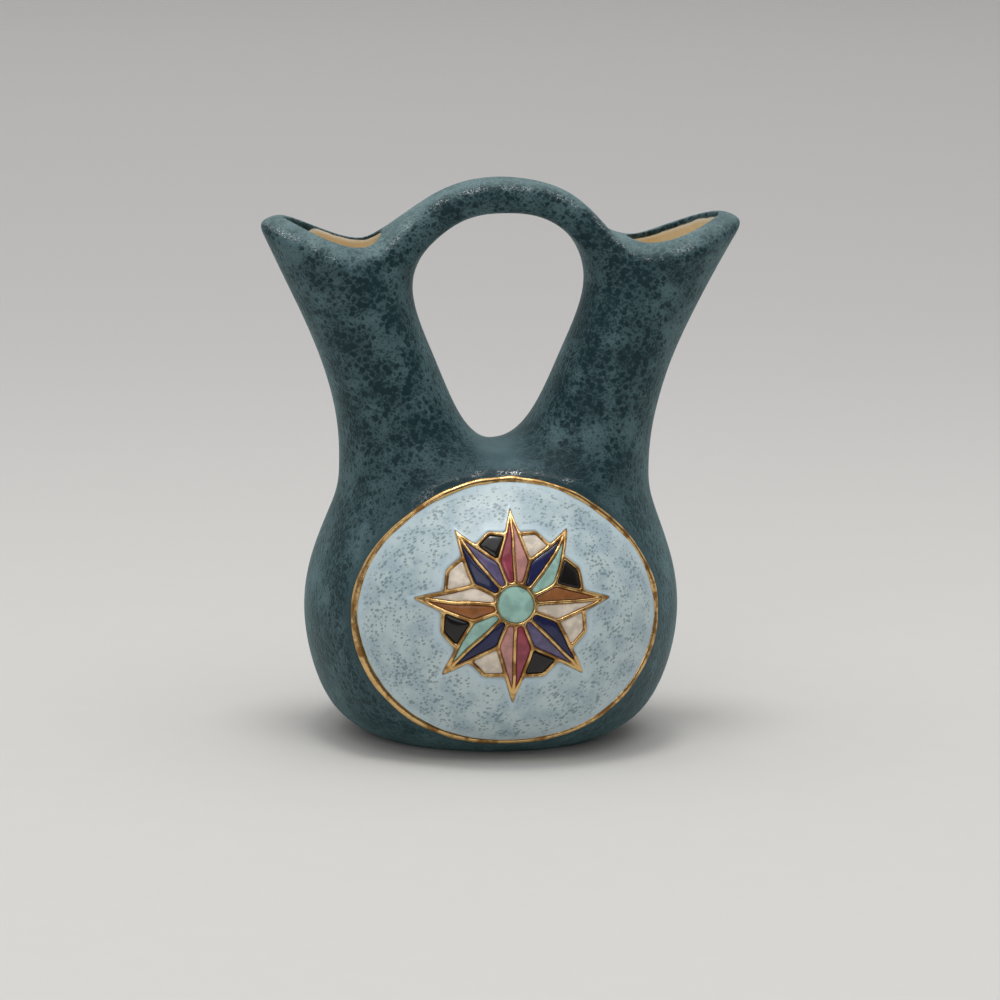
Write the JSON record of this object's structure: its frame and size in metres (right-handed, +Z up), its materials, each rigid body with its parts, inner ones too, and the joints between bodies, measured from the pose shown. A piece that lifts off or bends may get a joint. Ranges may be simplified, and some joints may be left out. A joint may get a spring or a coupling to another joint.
{
  "type": "wedding vase",
  "caption": "Round-bellied ceramic vase with twin flared spouts joined by an arched strap handle and a gold-edged oval medallion on the front.",
  "frame": {"origin": "middle of the foot, on the ground the vase stands on", "axes": "+Z up, +X towards the right spout seen from the front, -Y the way the medallion faces"},
  "size_m": [0.1286, 0.0903, 0.1512],
  "materials": {
    "teal_glaze": "sponged satin teal glaze",
    "sky_glaze": "glossy pale blue glaze",
    "gold_lustre": "fired gold lustre, thin and bright",
    "black_enamel": "glossy enamel",
    "navy_enamel": "glossy enamel",
    "magenta_enamel": "glossy enamel",
    "pink_enamel": "glossy enamel",
    "cream_enamel": "glossy enamel",
    "lilac_enamel": "glossy enamel",
    "brown_enamel": "glossy enamel",
    "turquoise_enamel": "glossy enamel"
  },
  "bodies": {
    "root": {"belly": "teal_glaze", "base_slab": "teal_glaze", "left_spout": "teal_glaze", "right_spout": "teal_glaze", "handle": "teal_glaze", "medallion_ground": "sky_glaze", "gold_border": "gold_lustre", "star_lines": "gold_lustre", "star_heart": "turquoise_enamel", "ray_1_left": "magenta_enamel", "ray_1_right": "pink_enamel", "ray_gap_1": "black_enamel", "ray_2_left": "navy_enamel", "ray_2_right": "lilac_enamel", "ray_gap_2": "cream_enamel", "ray_3_left": "brown_enamel", "ray_3_right": "cream_enamel", "ray_gap_3": "black_enamel", "ray_4_left": "navy_enamel", "ray_4_right": "turquoise_enamel", "ray_gap_4": "cream_enamel", "ray_5_left": "magenta_enamel", "ray_5_right": "pink_enamel", "ray_gap_5": "black_enamel", "ray_6_left": "navy_enamel", "ray_6_right": "lilac_enamel", "ray_gap_6": "cream_enamel", "ray_7_left": "brown_enamel", "ray_7_right": "cream_enamel", "ray_gap_7": "black_enamel", "ray_8_left": "navy_enamel", "ray_8_right": "turquoise_enamel", "ray_gap_8": "cream_enamel"}
  },
  "joints": []
}
